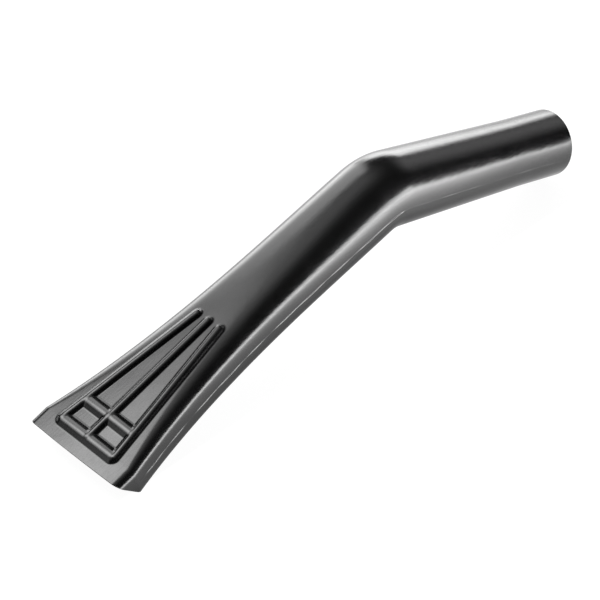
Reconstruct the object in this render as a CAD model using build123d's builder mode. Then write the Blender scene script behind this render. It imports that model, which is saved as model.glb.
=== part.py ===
"""Nozzle of a self-service car vacuum, blow-moulded in one piece, in millimetres.

A round tube bends once. Towards -X it flattens and flares into a wide slot mouth, whose upper face
carries a frame of raised hollow ribs. Towards +X it tapers to a round spigot that goes into a hose cuff.
The nozzle stands as it comes to rest, ribs up, on its lower lip and on the underside of the spigot's end.
"""
import os
from math import atan2, cos, radians, sin, tan

from build123d import *

os.makedirs("parts", exist_ok=True)

# Wall of the moulding
wall = 2.4

# Neck and spigot, lengths along the neck's axis from the corner where the two axes meet
spigot_diameter = 38.1
spigot_length = 33.0
neck_length = 140.4

# Bend
tube_diameter = 42.6
bend_angle = 32.7
bend_radius = 29.0

# Flattened body, lengths along the body's axis from the same corner
body_length = 223.8
lip_length = 12.4
flare_start = 55.0
flare_power = 2.36
flatten_power = 1.28
wedge_blend = 16.0

# Mouth, and the crown that the upper face has over it
mouth_width = 71.8
mouth_rise = 8.8
crown = 1.1
mouth_drop = 9.5
upper_corner_radius = 4.0
lower_corner_radius = 5.0
mouth_slant = 34.0
mouth_trim = 3.0

# Ribs on the upper face: three long ribs that fan out, and two crossbars
rib_radius = 2.9
rib_height = 1.95
rib_groove_radius = 1.6
crossbar_radius = 5.4
crossbar_height = 1.85
crossbar_groove_radius = 3.0
rib_far_end = 122.3
rib_far_spread = 8.5
front_crossbar = 211.3
front_spread = 20.8
corner_inset = 1.6
second_crossbar = 195.4
crossbar_end_gap = 0.3

# Shape of the loft: stations along the flare, points on each eighth of a section, and how closely ends meet
flare_stations = 10
points_per_eighth = 6
join_tolerance = 0.001

# Resting pose, worked out from the two feet: the lower lip and the lowest point of the spigot's end
tube_radius = tube_diameter / 2
spigot_radius = spigot_diameter / 2
tangent_length = bend_radius * tan(radians(bend_angle) / 2)
wedge_run = body_length - tangent_length - wedge_blend / 2
upper_slope = (tube_radius - mouth_rise) / wedge_run
under_slope = (tube_radius - mouth_drop) / wedge_run
slant_rate = tan(radians(mouth_slant))
upper_lip_rise = mouth_rise + crown
lip_setback = (upper_lip_rise + mouth_drop) * slant_rate / (1 - under_slope * slant_rate)
lower_lip = body_length - lip_setback
lower_lip_drop = mouth_drop + under_slope * lip_setback
spigot_foot_x = neck_length * cos(radians(bend_angle)) - spigot_radius * sin(radians(bend_angle))
spigot_foot_z = -neck_length * sin(radians(bend_angle)) - spigot_radius * cos(radians(bend_angle))
body_tilt = atan2(-lower_lip_drop - spigot_foot_z, spigot_foot_x + lower_lip)
neck_tilt = radians(bend_angle) - body_tilt

# Corner of the two axes, placed so that the nozzle is centred over the origin and stands on z = 0
front_reach = body_length * cos(body_tilt) + upper_lip_rise * sin(body_tilt)
back_reach = neck_length * cos(neck_tilt) + spigot_radius * sin(neck_tilt)
corner_height = lower_lip * sin(body_tilt) + lower_lip_drop * cos(body_tilt)
corner = Vector((front_reach - back_reach) / 2, 0, corner_height)

# Frames: the body's looks out of the mouth with its Y axis up, the neck's holds the neck's axis as Y
body_frame = Plane(corner, x_dir=(0, -1, 0), z_dir=(-cos(body_tilt), 0, -sin(body_tilt)))
neck_axis = Vector(cos(neck_tilt), 0, -sin(neck_tilt))
neck_frame = Plane(corner, x_dir=(0, 1, 0), z_dir=Vector(0, 1, 0).cross(neck_axis))
bend_frame = body_frame.offset(tangent_length)
bend_centre = bend_frame.from_local_coords(Vector(0, -bend_radius, 0))


def eased(distance):
    """Distance along the wedge, with a soft start where it leaves the round tube."""
    if distance < wedge_blend:
        return distance**2 / (2 * wedge_blend)
    return distance - wedge_blend / 2


def upper_face(station):
    """Height of the upper face over the body's axis."""
    return tube_radius - upper_slope * eased(station - tangent_length)


def under_face(station):
    """Depth of the under face below the body's axis."""
    return tube_radius - under_slope * eased(station - tangent_length)


def half_width(station):
    """Half of the body's width, a trumpet flare that ends where the lip runs parallel."""
    flare = (station - flare_start) / (body_length - lip_length - flare_start)
    return tube_radius + (mouth_width / 2 - tube_radius) * min(max(flare, 0), 1) ** flare_power


def squareness(station):
    """How far a section has gone from round, 0, to a rectangle with round corners, 1."""
    share = (station - tangent_length) / (body_length - lip_length - tangent_length)
    return min(share, 1) ** flatten_power


def crown_lift(share, station):
    """How far the crowned upper face stands over a flat one, at a share of the half width."""
    return crown * squareness(station) * (1 - share**2)


def section_knots(width, rise, drop, square, inset):
    """Eight points of a section with the handles of the curves between them, anticlockwise."""
    arc_handle = 4 / 3 * tan(radians(45) / 4)
    corner_handle = 4 / 3 * tan(radians(90) / 4)
    knots = []
    for eighth in range(8):
        angle = radians(22.5 + 45 * eighth)
        side = 1 if cos(angle) > 0 else -1
        level = 1 if sin(angle) > 0 else -1
        height = rise if level > 0 else drop
        radius = (upper_corner_radius if level > 0 else lower_corner_radius) - inset
        round_point = Vector(width * cos(angle), height * sin(angle))
        round_handle = Vector(-width * sin(angle), height * cos(angle)) * arc_handle
        if eighth in (0, 3, 4, 7):
            square_point = Vector(side * width, level * (height - radius))
            square_handle = Vector(0, side * radius * corner_handle)
        else:
            square_point = Vector(side * (width - radius), level * height)
            square_handle = Vector(-level * radius * corner_handle, 0)
        point = round_point * (1 - square) + square_point * square
        handle = round_handle * (1 - square) + square_handle * square
        knots.append((point, handle))
    return knots


def body_section(station, inset):
    """Section of the body as one smooth closed curve, drawn a wall's inset smaller for the hollow."""
    width = half_width(station) - inset
    knots = section_knots(
        width, upper_face(station) - inset, under_face(station) - inset, squareness(station), inset
    )
    points = []
    for eighth in range(8):
        start, start_handle = knots[eighth - 1]
        end, end_handle = knots[eighth]
        poles = (start, start + start_handle, end - end_handle, end)
        for step in range(points_per_eighth):
            t = step / points_per_eighth
            weights = ((1 - t) ** 3, 3 * t * (1 - t) ** 2, 3 * t**2 * (1 - t), t**3)
            point = sum((pole * weight for pole, weight in zip(poles, weights)), Vector())
            if point.Y > 0:
                point += Vector(0, crown_lift(point.X / width, station))
            points.append(point)
    middle_of_side = points_per_eighth // 2
    points = points[middle_of_side:] + points[:middle_of_side]
    shares = [index / len(points) for index in range(len(points) + 1)]
    outline = Edge.make_spline(points, periodic=True, parameters=shares)
    return Face(Wire([outline])).moved(body_frame.offset(station).location)


def body_stations():
    """Stations of the loft: the bend's end, the soft start of the wedge, then even steps to the lip."""
    wedge_start = tangent_length + wedge_blend
    step = (body_length - lip_length - wedge_start) / flare_stations
    even_steps = [wedge_start + step * index for index in range(flare_stations + 1)]
    return [tangent_length, tangent_length + wedge_blend / 2] + even_steps


def duct(inset):
    """Whole tube from the untrimmed mouth to the spigot's end, drawn an inset smaller for the hollow."""
    with BuildPart() as body:
        loft([body_section(station, inset) for station in body_stations()])
    with BuildPart() as lip:
        lip_ends = (body_length - lip_length, body_length + mouth_trim)
        loft([body_section(station, inset) for station in lip_ends], ruled=True)
    with BuildPart() as neck:
        with BuildSketch(bend_frame):
            Circle(tube_radius - inset)
        revolve(axis=Axis(bend_centre, (0, 1, 0)), revolution_arc=bend_angle)
        with BuildSketch(neck_frame):
            with BuildLine():
                Polyline(
                    (0, tangent_length),
                    (tube_radius - inset, tangent_length),
                    (spigot_radius - inset, neck_length - spigot_length),
                    (spigot_radius - inset, neck_length),
                    (0, neck_length),
                    close=True,
                )
            make_face()
        revolve(axis=Axis(corner, neck_axis))
    return body.part.fuse(lip.part, neck.part, tol=join_tolerance)


def crest_point(across, station, height, radius):
    """Point on the axis of a round bar whose crest stands the given height over the upper face."""
    face = upper_face(station) + crown_lift(across / half_width(station), station)
    return body_frame.from_local_coords(Vector(across, face + height - radius, station))


def round_bar(axis, radius):
    """Round bar along an axis, with flat ends."""
    with BuildSketch(Plane(axis @ 0, z_dir=axis % 0)) as bar_section:
        Circle(radius)
    sweep(bar_section.sketch, path=axis)


def ball_ended_bar(axis, radius):
    """Round bar along an axis, with a ball at each end."""
    round_bar(axis, radius)
    with Locations(axis @ 0, axis @ 1):
        Sphere(radius)


def crossbar_axis(station, spread, height, radius):
    """Arc from side to side that follows the crown of the upper face."""
    points = [crest_point(side * spread, station, height, radius) for side in (-1, 0, 1)]
    return Edge.make_three_point_arc(*points)


def rib_frame(rib, crossbar, inset):
    """Three long ribs that fan out and two crossbars between them, an inset lower for the hollow."""
    for side in (-1, 0, 1):
        far_end = crest_point(side * rib_far_spread, rib_far_end, rib_height - inset, rib)
        front_end = crest_point(side * front_spread, front_crossbar, rib_height - inset, rib)
        ball_ended_bar(Edge.make_line(far_end, front_end), rib)
    height = crossbar_height - inset
    ball_ended_bar(crossbar_axis(front_crossbar, front_spread - corner_inset, height, crossbar), crossbar)
    share = (second_crossbar - rib_far_end) / (front_crossbar - rib_far_end)
    second_spread = rib_far_spread + (front_spread - rib_far_spread) * share
    round_bar(crossbar_axis(second_crossbar, second_spread - crossbar_end_gap, height, crossbar), crossbar)


# Hollow of the moulding, with grooves behind the ribs
with BuildPart() as hollow:
    add(duct(wall))
    rib_frame(rib_groove_radius, crossbar_groove_radius, wall)

# Nozzle: the outer form less its hollow, with the mouth cut on the slant
upper_lip = body_frame.from_local_coords(Vector(0, upper_lip_rise, body_length))
mouth_normal = body_frame.z_dir.rotate(Axis.Y, -mouth_slant)
mouth_plane = Plane(upper_lip, x_dir=(0, -1, 0), z_dir=mouth_normal)
with BuildPart() as nozzle:
    add(duct(0))
    rib_frame(rib_radius, crossbar_radius, 0)
    add(hollow.part, mode=Mode.SUBTRACT)
    split(bisect_by=mouth_plane, keep=Keep.BOTTOM)

nozzle.part.label = "nozzle"
export_step(nozzle.part, "parts/nozzle.step")
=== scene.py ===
"""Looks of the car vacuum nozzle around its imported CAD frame, in metres, standing as it comes to rest.

The skin is one closed mesh of the same moulding, with rounder upper edges, soft rib feet, rounded rims and
the thin flash that the two halves of the mould leave along both sides.
"""
from math import atan2, copysign, cos, pi, radians, sin, tan

import bpy
import numpy as np
from mathutils import Matrix, Quaternion, Vector


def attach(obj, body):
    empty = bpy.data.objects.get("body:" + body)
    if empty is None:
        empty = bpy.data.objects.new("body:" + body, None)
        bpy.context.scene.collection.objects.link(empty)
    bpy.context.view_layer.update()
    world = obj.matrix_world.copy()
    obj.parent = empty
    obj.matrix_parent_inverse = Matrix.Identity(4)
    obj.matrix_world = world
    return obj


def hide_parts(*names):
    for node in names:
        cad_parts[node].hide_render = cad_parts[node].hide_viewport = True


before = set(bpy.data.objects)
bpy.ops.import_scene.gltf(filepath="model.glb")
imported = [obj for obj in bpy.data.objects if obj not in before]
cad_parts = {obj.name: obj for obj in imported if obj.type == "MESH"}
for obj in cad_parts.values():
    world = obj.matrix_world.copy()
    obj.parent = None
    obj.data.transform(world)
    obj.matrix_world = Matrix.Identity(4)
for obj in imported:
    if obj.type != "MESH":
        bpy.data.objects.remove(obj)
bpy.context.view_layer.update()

# Sizes of the moulding, as in the CAD part
wall = 0.0024
spigot_radius = 0.01905
spigot_length = 0.033
neck_length = 0.1404
tube_radius = 0.0213
bend_angle = radians(32.7)
bend_radius = 0.029
body_length = 0.2238
lip_length = 0.0124
flare_start = 0.055
flare_power = 2.36
flatten_power = 1.28
wedge_blend = 0.016
mouth_half_width = 0.0359
mouth_rise = 0.0088
crown = 0.0011
mouth_drop = 0.0095
lower_corner_radius = 0.005
slant_rate = tan(radians(34.0))

# Ribs on the upper face, as in the CAD part
rib_radius = 0.0029
rib_height = 0.00195
rib_groove_radius = 0.0016
crossbar_radius = 0.0054
crossbar_height = 0.00185
crossbar_groove_radius = 0.003
rib_far_end = 0.1223
rib_far_spread = 0.0085
front_crossbar = 0.2113
front_spread = 0.0208
corner_inset = 0.0016
second_crossbar = 0.1954

# What only the skin has: rounder upper corners, sloping rib flanks, and round feet, joints and rims
upper_corner_radius = 0.0052
flank_slope = 1.5
foot_softness = 0.0008
joint_softness = 0.0006
rim_radius = 0.0005
rim_steps = 3

# How far the skin lies inside the CAD solid, which keeps it in the solid's box
skin_gap = 0.00005

# Flash along the two sides of the mould: steep above, flatter below, and lower on the neck
flash_height = 0.00045
flash_upper_spread = 0.00015
flash_lower_spread = 0.00045
flash_end = 0.012
neck_flash_share = 0.4

# Two waves that make the flash uneven, as shares of its height
flash_mean = 0.66
flash_long_wave = 0.0097
flash_long_swing = 0.2
flash_short_wave = 0.0034
flash_short_swing = 0.26

# Lines of the mesh along the nozzle: how many on each eighth of a section, and where they lie on the sides
lines_on_upper_corner = 22
lines_on_top = 144
lines_on_lower_corner = 12
lines_under = 26
lines_beside_flash = 5
side_reach = 0.4
side_middle = 0.5
flash_lines = (-0.0008, -0.00045, -0.0002, 0.0, 0.0002, 0.00045, 0.0008)

# Rings of the mesh: steps between them, and where they turn finer and start to slant like the mouth
fine_step = 0.00066
plain_step = 0.0028
inner_step = 0.0064
bend_steps = 16
slant_from = 0.15
rib_margin = 0.007

# Turns that find the mouth's cut on a line, and a height below everything
cut_turns = 12
far_below = -1.0

# Placing, from the two feet that the nozzle stands on
tangent_length = bend_radius * tan(bend_angle / 2)
wedge_run = body_length - tangent_length - wedge_blend / 2
upper_slope = (tube_radius - mouth_rise) / wedge_run
under_slope = (tube_radius - mouth_drop) / wedge_run
upper_lip_rise = mouth_rise + crown
lip_setback = (upper_lip_rise + mouth_drop) * slant_rate / (1 - under_slope * slant_rate)
lower_lip = body_length - lip_setback
lower_lip_drop = mouth_drop + under_slope * lip_setback
spigot_foot_x = neck_length * cos(bend_angle) - spigot_radius * sin(bend_angle)
spigot_foot_z = -neck_length * sin(bend_angle) - spigot_radius * cos(bend_angle)
body_tilt = atan2(-lower_lip_drop - spigot_foot_z, spigot_foot_x + lower_lip)
neck_tilt = bend_angle - body_tilt
front_reach = body_length * cos(body_tilt) + upper_lip_rise * sin(body_tilt)
back_reach = neck_length * cos(neck_tilt) + spigot_radius * sin(neck_tilt)
corner_height = lower_lip * sin(body_tilt) + lower_lip_drop * cos(body_tilt)
corner = np.array(((front_reach - back_reach) / 2, 0, corner_height))
near_side = np.array((0.0, -1.0, 0.0))
body_axis = np.array((-cos(body_tilt), 0, -sin(body_tilt)))
body_up = np.array((-sin(body_tilt), 0, cos(body_tilt)))
neck_axis = np.array((cos(neck_tilt), 0, -sin(neck_tilt)))
neck_up = np.array((sin(neck_tilt), 0, cos(neck_tilt)))
bend_centre = corner + tangent_length * body_axis - bend_radius * body_up

# Camera: the point in the photograph's middle, where the camera looks from and how, angles in degrees
camera_aim = Vector((-0.017562, -0.000423, 0.020307))
camera_distance = 1.9323
camera_azimuth = 221.585
camera_elevation = 42.597
camera_roll = -1.9505
camera_lens = 215.23

# Table
floor_half = 4.0
table_white = 0.96


def eased(distance):
    """Distance along the wedge, with a soft start where it leaves the round tube."""
    return np.where(distance < wedge_blend, distance**2 / (2 * wedge_blend), distance - wedge_blend / 2)


def upper_face(station):
    """Height of the upper face over the body's axis."""
    return tube_radius - upper_slope * eased(station - tangent_length)


def under_face(station):
    """Depth of the under face below the body's axis."""
    return tube_radius - under_slope * eased(station - tangent_length)


def half_width(station):
    """Half of the body's width, a trumpet flare that ends where the lip runs parallel."""
    flare = (station - flare_start) / (body_length - lip_length - flare_start)
    return tube_radius + (mouth_half_width - tube_radius) * np.clip(flare, 0, 1) ** flare_power


def squareness(station):
    """How far a section has gone from round, 0, to a rectangle with round corners, 1."""
    share = (station - tangent_length) / (body_length - lip_length - tangent_length)
    return np.clip(share, 0, 1) ** flatten_power


def crown_lift(share, station):
    """How far the crowned upper face stands over a flat one, at a share of the half width."""
    return crown * squareness(station) * (1 - share**2)


def knot(eighth, width, rise, drop, square, inset):
    """Knot of a section with its handle, as numbers across + 1j * up, between round and square."""
    arc_handle = 4 / 3 * tan(radians(45) / 4)
    corner_handle = 4 / 3 * tan(radians(90) / 4)
    angle = radians(22.5 + 45 * eighth)
    side = copysign(1, cos(angle))
    level = copysign(1, sin(angle))
    height = rise if level > 0 else drop
    radius = (upper_corner_radius if level > 0 else lower_corner_radius) - inset
    round_point = width * cos(angle) + 1j * height * sin(angle)
    round_handle = (-width * sin(angle) + 1j * height * cos(angle)) * arc_handle
    if eighth % 4 in (0, 3):
        square_point = side * width + 1j * level * (height - radius)
        square_handle = 1j * side * radius * corner_handle
    else:
        square_point = side * (width - radius) + 1j * level * height
        square_handle = -level * radius * corner_handle
    point = round_point * (1 - square) + square_point * square
    handle = round_handle * (1 - square) + square_handle * square
    return point, handle


def section(line, width, rise, drop, square, inset):
    """Points of one line of the mesh on sections of those sizes, as numbers across + 1j * up."""
    eighth, share, offset = line
    start, start_handle = knot(eighth - 1, width, rise, drop, square, inset)
    end, end_handle = knot(eighth, width, rise, drop, square, inset)
    t = share + offset / abs(end - start)
    outer = (1 - t) ** 3 * start + t**3 * end
    return outer + 3 * t * (1 - t) * ((1 - t) * (start + start_handle) + t * (end - end_handle))


def body_section(line, station, inset):
    """Points of one line on the body's sections."""
    rise = upper_face(station) - inset
    drop = under_face(station) - inset
    width = half_width(station) - inset
    points = section(line, width, rise, drop, squareness(station), inset)
    return points + 1j * np.where(points.imag > 0, crown_lift(points.real / width, station), 0)


def mesh_lines():
    """Eighth, share and offset in metres of each line of the mesh, anticlockwise from the near side."""
    counts = {
        1: lines_on_upper_corner,
        2: lines_on_top,
        3: lines_on_upper_corner,
        5: lines_on_lower_corner,
        6: lines_under,
        7: lines_on_lower_corner,
    }
    side_shares = np.linspace(0, side_reach, lines_beside_flash)
    lines = []
    for eighth in range(8):
        if eighth in counts:
            lines += [(eighth, index / counts[eighth], 0) for index in range(counts[eighth])]
        else:
            lines += [(eighth, share, 0) for share in side_shares]
            lines += [(eighth, side_middle, offset) for offset in flash_lines]
            lines += [(eighth, 1 - share, 0) for share in side_shares[:0:-1]]
    return lines


def soft_max(first, second, softness):
    """Higher of two heights, with a round passage between them."""
    overlap = np.maximum(softness - abs(first - second), 0)
    return np.maximum(first, second) + overlap**2 / (4 * softness)


def rib_bars():
    """Ribs and crossbars: both ends as across and station, height over the face, radius, groove radius."""
    share = (second_crossbar - rib_far_end) / (front_crossbar - rib_far_end)
    second_spread = rib_far_spread + (front_spread - rib_far_spread) * share
    bars = []
    for side in (-1, 0, 1):
        far_end = (side * rib_far_spread, rib_far_end)
        front_end = (side * front_spread, front_crossbar)
        bars.append((far_end, front_end, rib_height, rib_radius, rib_groove_radius))
    for spread, station in ((front_spread, front_crossbar), (second_spread, second_crossbar)):
        reach = spread - corner_inset
        ends = ((-reach, station), (reach, station))
        bars.append((*ends, crossbar_height, crossbar_radius, crossbar_groove_radius))
    return bars


def raised(across, up, station, inset):
    """Height of the skin with the ribs on it, or with their hollows where it is the inside."""
    ribs = np.full_like(up, far_below)
    for start, end, height, radius, groove_radius in rib_bars():
        run = np.subtract(end, start)
        along = (across - start[0]) * run[0] + (station - start[1]) * run[1]
        along = np.clip(along / (run @ run), 0, 1)
        axis_across = start[0] + along * run[0]
        axis_station = start[1] + along * run[1]
        away = np.hypot(across - axis_across, station - axis_station)
        round_radius = groove_radius if inset == wall else radius
        flank = round_radius * sin(atan2(flank_slope, 1))
        round_top = np.sqrt(round_radius**2 - np.minimum(away, flank) ** 2) - round_radius
        profile = round_top - flank_slope * np.maximum(away - flank, 0)
        face = upper_face(axis_station) + crown_lift(axis_across / half_width(axis_station), axis_station)
        ribs = soft_max(ribs, face + height - inset + profile, joint_softness)
    return np.where(up > 0, soft_max(up, ribs, foot_softness), up)


def mouth_station(line, inset):
    """Station where a line of the mesh meets the slanted cut of the mouth."""
    station = np.array(body_length)
    for turn in range(cut_turns):
        station = body_length - (upper_lip_rise - body_section(line, station, inset).imag) * slant_rate
    return station


def flash(line, run):
    """How far the flash takes a line sideways: uneven, lower where run is negative, gone at the lip."""
    eighth, share, offset = line
    if eighth % 4 or share != side_middle:
        return np.zeros_like(run)
    side = copysign(1, 2 - eighth)
    long_wave = flash_long_swing * np.sin(run / flash_long_wave)
    short_wave = flash_short_swing * np.sin(run / flash_short_wave)
    ending = np.clip((body_length - lip_length - run) / flash_end, 0, 1)
    height = flash_height * np.where(run < 0, neck_flash_share, 1) * (flash_mean + long_wave + short_wave)
    spread = flash_upper_spread if side * offset > 0 else flash_lower_spread
    return side * height * ending * np.exp(-((offset / spread) ** 2))


def body_points(line, station, inset):
    """Points of a line on the body, ribs and flash included."""
    points = body_section(line, station, inset)
    up = raised(points.real, points.imag, station, inset)
    out = points.real + (flash(line, station) if inset == skin_gap else 0)
    return corner + np.outer(station, body_axis) + np.outer(out, near_side) + np.outer(up, body_up)


def round_points(line, radius, inset, run):
    """Points of a line on round sections of the neck or bend, as numbers across + 1j * up."""
    points = section(line, radius - inset, radius - inset, radius - inset, 0, inset)
    return points + (flash(line, run) if inset == skin_gap else 0)


def bend_points(line, angles, inset):
    """Points of a line on the bend, at angles from the body's end."""
    run = tangent_length - bend_radius * angles
    points = round_points(line, np.full_like(angles, tube_radius), inset, run)
    outward = np.outer(np.cos(angles), body_up) - np.outer(np.sin(angles), body_axis)
    return bend_centre + outward * (bend_radius + points.imag)[:, None] + np.outer(points.real, near_side)


def neck_points(line, station, inset):
    """Points of a line on the tapered neck and its spigot."""
    taper_end = neck_length - spigot_length
    share = np.clip((station - tangent_length) / (taper_end - tangent_length), 0, 1)
    points = round_points(line, tube_radius + (spigot_radius - tube_radius) * share, inset, -station)
    across = np.outer(points.real, near_side)
    return corner + np.outer(station, neck_axis) + across + np.outer(points.imag, neck_up)


def steps(start, end, step):
    """Even places from start up to, and without, end."""
    return np.linspace(start, end, max(round(abs(end - start) / step), 1), endpoint=False)


def side_of_wall(line, inset, step, rib_step):
    """Points of a line from the spigot's end to the mouth, on the outside or an inset inside."""
    rib_start = rib_far_end - rib_radius - rib_margin
    neck = steps(neck_length - rim_radius, tangent_length, step)
    angles = steps(bend_angle, 0, bend_angle / bend_steps)
    plain = steps(tangent_length, rib_start, step)
    ribbed = steps(rib_start, slant_from, rib_step)
    mouth = mouth_station(line, inset) - rim_radius
    shares = np.linspace(0, 1, round((body_length - slant_from) / rib_step))
    stations = np.concatenate((plain, ribbed, slant_from + (mouth - slant_from) * shares))
    return np.concatenate((
        neck_points(line, neck, inset),
        bend_points(line, angles, inset),
        body_points(line, stations, inset),
    ))


def rim(line, at_mouth):
    """Points of a line across the rounded rim, from the outside to the inside."""
    quarter = np.linspace(0, pi / 2, rim_steps + 1)[1:]
    insets = rim_radius * (1 - np.cos(quarter))
    backs = rim_radius * (1 - np.sin(quarter))
    rings = list(zip(insets, backs)) + list(zip(wall - insets[::-1], backs[::-1]))
    points = []
    for inset, back in rings:
        if at_mouth:
            station = mouth_station(line, inset) - back
            points.append(body_points(line, np.array([station]), inset))
        else:
            points.append(neck_points(line, np.array([neck_length - back]), inset))
    return np.concatenate(points)


def nozzle_skin():
    """Closed mesh of the whole moulding: outside, mouth rim, inside and spigot rim."""
    rows = []
    for line in mesh_lines():
        outside = side_of_wall(line, skin_gap, plain_step, fine_step)
        inside = side_of_wall(line, wall, 2 * plain_step, inner_step)
        spigot_rim = rim(line, False)
        rows.append(np.concatenate((outside, rim(line, True), inside[::-1], spigot_rim[::-1])))
    rows = np.array(rows)
    row_count, ring_count = rows.shape[:2]
    faces = []
    for row in range(row_count):
        here = row * ring_count
        after = (row + 1) % row_count * ring_count
        for ring in range(ring_count):
            following = (ring + 1) % ring_count
            faces.append((here + ring, after + ring, after + following, here + following))
    mesh = bpy.data.meshes.new("nozzle_skin")
    mesh.from_pydata(rows.reshape(-1, 3), [], faces)
    mesh.shade_smooth()
    skin = bpy.data.objects.new("nozzle_skin", mesh)
    bpy.context.collection.objects.link(skin)
    return skin


class Nodes:
    """Node tree of a material, light or world, with short calls to add nodes and links."""

    def __init__(self, owner, shader):
        owner.use_nodes = True
        self.tree = owner.node_tree
        self.shader = self.tree.nodes[shader]

    def add(self, kind, inputs=(), **settings):
        """Node of a kind, with sockets linked or set by name and settings of its own."""
        node = self.tree.nodes.new(kind)
        for key, value in settings.items():
            setattr(node, key, value)
        for key, value in dict(inputs).items():
            self.put(node.inputs[key], value)
        return node

    def put(self, socket, value):
        """Links an output to a socket, or sets the socket's own value."""
        if isinstance(value, bpy.types.NodeSocket):
            self.tree.links.new(value, socket)
        else:
            socket.default_value = value

    def place(self):
        """Place on the object, in metres."""
        return self.add("ShaderNodeTexCoord").outputs["Object"]

    def noise(self, scale, detail, stretch=(1, 1, 1)):
        """Noise over the object, with a scale per metre, stretched along its axes."""
        placed = self.add("ShaderNodeMapping", {"Vector": self.place(), "Scale": stretch})
        inputs = {"Vector": placed.outputs["Vector"], "Scale": scale, "Detail": detail}
        return self.add("ShaderNodeTexNoise", inputs).outputs["Fac"]

    def ramp(self, value, start, end, low, high):
        """Number that goes from low to high while a value goes from start to end."""
        inputs = {"Value": value, "From Min": start, "From Max": end, "To Min": low, "To Max": high}
        return self.add("ShaderNodeMapRange", inputs).outputs["Result"]

    def math(self, operation, first, second, clamped=False):
        """Result of an operation on two numbers."""
        inputs = {0: first, 1: second}
        return self.add("ShaderNodeMath", inputs, operation=operation, use_clamp=clamped).outputs["Value"]

    def bump(self, height, distance, normal=None):
        """Bumped normal from a height of that many metres, over an earlier normal."""
        inputs = {"Height": height, "Strength": 1.0, "Distance": distance}
        if normal:
            inputs["Normal"] = normal
        return self.add("ShaderNodeBump", inputs).outputs["Normal"]


def moulded_plastic():
    """Black semi-gloss polyethylene: wavy from the blow mould, with drawn lines and a fine grain."""
    material = bpy.data.materials.new("moulded_plastic")
    nodes = Nodes(material, "Principled BSDF")
    waves = nodes.noise(scale=38, detail=2, stretch=(0.5, 1, 1))
    drawn_lines = nodes.noise(scale=900, detail=3, stretch=(0.03, 1, 1))
    grain = nodes.noise(scale=2600, detail=2)
    patches = nodes.noise(scale=60, detail=5)
    normal = nodes.bump(waves, distance=0.0003)
    normal = nodes.bump(drawn_lines, distance=0.00003, normal=normal)
    normal = nodes.bump(grain, distance=0.00001, normal=normal)
    dark = (0.002, 0.002, 0.0021, 1)
    worn = (0.005, 0.005, 0.0052, 1)
    colour = nodes.add("ShaderNodeMix", {"Factor": patches, "A": dark, "B": worn}, data_type="RGBA")
    patch_roughness = nodes.ramp(patches, start=0, end=1, low=0.13, high=0.23)
    line_roughness = nodes.ramp(drawn_lines, start=0.4, end=0.7, low=0, high=0.05)
    roughness = nodes.math("ADD", patch_roughness, line_roughness)
    nodes.put(nodes.shader.inputs["Base Color"], colour.outputs["Result"])
    nodes.put(nodes.shader.inputs["Roughness"], roughness)
    nodes.put(nodes.shader.inputs["Normal"], normal)
    nodes.put(nodes.shader.inputs["IOR"], 1.52)
    return material


def lit_table():
    """White table top that glows, brighter further off; in reflections alone it shows a painted shade on
    its near side under the body and painted extra light further right.
    """
    material = bpy.data.materials.new("lit_table")
    nodes = Nodes(material, "Principled BSDF")
    apart = nodes.add("ShaderNodeSeparateXYZ", {"Vector": nodes.place()})

    # Extra glow further off: on the near side but for its left, and weaker on the far side
    near = nodes.ramp(apart.outputs["Y"], start=-0.03, end=-0.38, low=0, high=10)
    right = nodes.ramp(apart.outputs["X"], start=-0.8, end=-0.4, low=0, high=1)
    far = nodes.ramp(apart.outputs["Y"], start=0.2, end=0.55, low=0, high=2.5)
    extra = nodes.math("ADD", nodes.math("MULTIPLY", near, right), far)

    # Plain white as the camera sees it; reflections see only a share of it on the near side under the
    # body, which is painted shade, and more than all of it further right, which is painted light
    near_share = nodes.ramp(apart.outputs["X"], start=0.06, end=0.22, low=0.4, high=1.2)
    far_share = nodes.ramp(apart.outputs["Y"], start=0.02, end=0.1, low=0, high=1)
    # Painted shade under the body and painted light further right, seen only in reflections
    reflected_shade_and_light = nodes.math("MAXIMUM", near_share, far_share)
    seen = nodes.math("MAXIMUM", nodes.add("ShaderNodeLightPath").outputs["Is Camera Ray"], reflected_shade_and_light)
    plain = nodes.math("MULTIPLY", seen, table_white)

    nodes.put(nodes.shader.inputs["Base Color"], (0.08, 0.08, 0.08, 1))
    nodes.put(nodes.shader.inputs["Roughness"], 0.9)
    nodes.put(nodes.shader.inputs["Emission Color"], (1, 1, 1, 1))
    nodes.put(nodes.shader.inputs["Emission Strength"], nodes.math("ADD", extra, plain))
    return material


def direction(azimuth, elevation):
    """Unit vector towards an azimuth from +Y over +X and an elevation, in degrees."""
    level = cos(radians(elevation))
    return Vector((sin(radians(azimuth)) * level, cos(radians(azimuth)) * level, sin(radians(elevation))))


def face_aim(obj, place, roll=0.0):
    """Puts a camera or light at a place, looking at the camera's aim."""
    turn = (camera_aim - place).to_track_quat("-Z", "Y") @ Quaternion((0, 0, 1), radians(roll))
    obj.matrix_world = Matrix.Translation(place) @ turn.to_matrix().to_4x4()


def softbox(name, towards, distance, size, radiance, feather=0.2):
    """Rectangular light that faces the nozzle from a direction and fades over a share of its sides."""
    width, height = size
    lamp = bpy.data.lights.new(name, "AREA")
    lamp.shape = "RECTANGLE"
    lamp.size = width
    lamp.size_y = height
    lamp.energy = pi * width * height * radiance
    nodes = Nodes(lamp, "Emission")
    place_on_box = nodes.add("ShaderNodeNewGeometry").outputs["Parametric"]
    shares = nodes.add("ShaderNodeSeparateXYZ", {"Vector": place_on_box})
    fades = []
    for axis in "XY":
        from_edge = nodes.math("PINGPONG", shares.outputs[axis], 0.5)
        fades.append(nodes.ramp(from_edge, start=0, end=feather, low=0, high=1))
    nodes.put(nodes.shader.inputs["Strength"], nodes.math("MULTIPLY", *fades))
    box = bpy.data.objects.new(name, lamp)
    bpy.context.collection.objects.link(box)
    face_aim(box, camera_aim + distance * direction(*towards))


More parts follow.
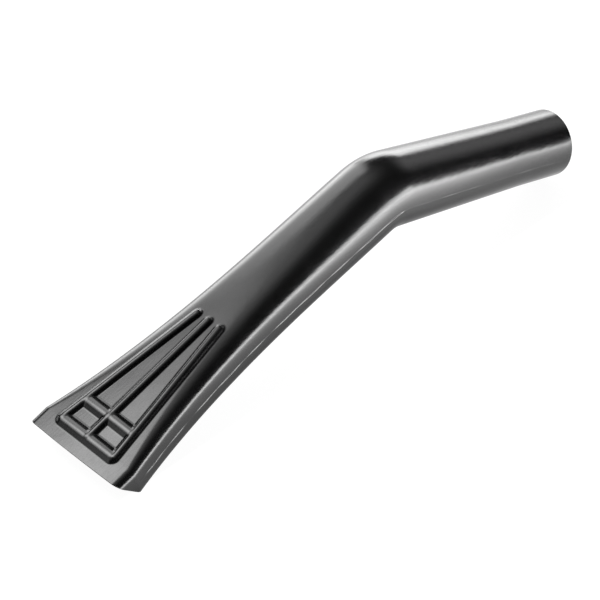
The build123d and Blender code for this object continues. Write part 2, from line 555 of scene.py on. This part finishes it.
def studio_glow(towards, radiance, narrowness):
    """Dark world with a soft glow round one direction, which comes again unseen under the table."""
    world = bpy.data.worlds.new("studio")
    nodes = Nodes(world, "Background")
    ray = nodes.add("ShaderNodeTexCoord").outputs["Generated"]
    facing = nodes.add("ShaderNodeVectorMath", {0: ray, 1: direction(*towards)}, operation="DOT_PRODUCT")
    fading = nodes.math("POWER", facing.outputs["Value"], narrowness, clamped=True)
    nodes.put(nodes.shader.inputs["Color"], (1, 1, 1, 1))
    nodes.put(nodes.shader.inputs["Strength"], nodes.math("MULTIPLY", fading, radiance))
    return world


# Skin over the CAD frame
skin = nozzle_skin()
skin.data.materials.append(moulded_plastic())
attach(skin, "root")
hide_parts("nozzle")

# Floor
floor_mesh = bpy.data.meshes.new("floor")
floor_corners = [(x * floor_half, y * floor_half, 0) for x, y in ((-1, -1), (1, -1), (1, 1), (-1, 1))]
floor_mesh.from_pydata(floor_corners, [], [(0, 1, 2, 3)])
floor_mesh.materials.append(lit_table())
floor = bpy.data.objects.new("floor", floor_mesh)
bpy.context.collection.objects.link(floor)

# Camera
camera_data = bpy.data.cameras.new("camera")
camera_data.lens = camera_lens
camera = bpy.data.objects.new("camera", camera_data)
bpy.context.collection.objects.link(camera)
face_aim(camera, camera_aim + camera_distance * direction(camera_azimuth, camera_elevation), camera_roll)
bpy.context.scene.camera = camera

# Soft studio light: a tall panel and low strips behind, a bright box over the mouth, a bright strip low on
# the near side, dim boxes left and right, and a glow overhead
softbox("back_panel", towards=(16, 28), distance=1.0, size=(0.62, 1.4), radiance=3.5)
softbox("left_top", towards=(-41, 50), distance=0.6, size=(0.42, 0.52), radiance=9.0, feather=0.4)
softbox("back_strip", towards=(50, 10.5), distance=1.0, size=(0.72, 0.34), radiance=6.4)
softbox("low_strip", towards=(14, 9), distance=1.0, size=(0.62, 0.42), radiance=2.2)
softbox("near_strip", towards=(160, 5.5), distance=1.2, size=(1.5, 0.3), radiance=11.0, feather=0.1)
softbox("right_box", towards=(84, 24), distance=1.2, size=(1.0, 0.75), radiance=1.0, feather=0.4)
softbox("left_box", towards=(-66, 20), distance=1.2, size=(0.85, 1.0), radiance=1.0, feather=0.4)
bpy.context.scene.world = studio_glow(towards=(0, 75), radiance=1.2, narrowness=10.0)
bpy.context.scene.view_settings.view_transform = "Standard"
